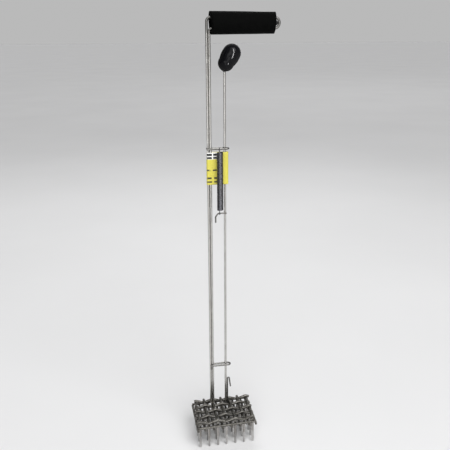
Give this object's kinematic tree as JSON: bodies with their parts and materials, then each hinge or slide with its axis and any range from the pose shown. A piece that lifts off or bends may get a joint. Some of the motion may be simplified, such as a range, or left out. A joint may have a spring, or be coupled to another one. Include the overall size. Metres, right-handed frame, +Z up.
{
  "type": "hand core aerator",
  "caption": "Wire-framed hand aerator with a side handle, a block of solid tines under a woven plate and a sprung push rod that slides a stripper grid down the tines.",
  "frame": {"origin": "blunt tip of the middle tine, at the level where the tines first meet the ground", "axes": "+Z up along the stem, +X along the handle away from the stem, -Y towards the spring side"},
  "size_m": [0.1837, 0.0957, 0.8884],
  "materials": {
    "stem_steel": "drawn stainless wire, dull sheen",
    "mesh_steel": "darkened, weathered steel wire",
    "tine_steel": "drawn stainless rod, scuffed by soil",
    "spring_steel": "oiled spring wire",
    "foam": "black closed-cell foam, fine pores",
    "core_plastic": "black, smooth",
    "knob_plastic": "glossy black dipped plastic",
    "label": "laminated yellow paper with a plain printed pattern"
  },
  "bodies": {
    "frame": {"frame_wire": "stem_steel", "grip_core": "core_plastic", "foam_grip": "foam", "upper_guide": "stem_steel", "lower_guide": "stem_steel", "label": "label", "plate_row_wires": "mesh_steel", "plate_column_wires": "mesh_steel", "tine_1_1": "tine_steel", "tine_2_1": "tine_steel", "tine_3_1": "tine_steel", "tine_4_1": "tine_steel", "tine_5_1": "tine_steel", "tine_1_2": "tine_steel", "tine_2_2": "tine_steel", "tine_3_2": "tine_steel", "tine_4_2": "tine_steel", "tine_5_2": "tine_steel", "tine_1_3": "tine_steel", "tine_2_3": "tine_steel", "tine_3_3": "tine_steel", "tine_4_3": "tine_steel", "tine_5_3": "tine_steel", "tine_1_4": "tine_steel", "tine_2_4": "tine_steel", "tine_3_4": "tine_steel", "tine_4_4": "tine_steel", "tine_5_4": "tine_steel", "tine_1_5": "tine_steel", "tine_2_5": "tine_steel", "tine_3_5": "tine_steel", "tine_4_5": "tine_steel", "tine_5_5": "tine_steel", "tine_1_6": "tine_steel", "tine_2_6": "tine_steel", "tine_3_6": "tine_steel", "tine_4_6": "tine_steel", "tine_5_6": "tine_steel", "tine_1_7": "tine_steel", "tine_2_7": "tine_steel", "tine_3_7": "tine_steel", "tine_4_7": "tine_steel", "tine_5_7": "tine_steel", "return_spring": "spring_steel"},
    "pusher": {"push_rod": "stem_steel", "knob": "knob_plastic", "spring_anchor": "stem_steel", "stop_hook": "stem_steel", "stripper_cross_wires": "mesh_steel", "stripper_long_wires": "mesh_steel"}
  },
  "joints": [
    {"name": "stripper_slide", "type": "slide", "parent": "frame", "child": "pusher", "axis": [0, 0, -1], "range_m": [0, 0.035], "stiffness_N_per_m": 140, "springref_m": -0.05, "deforming": ["return_spring"]}
  ]
}
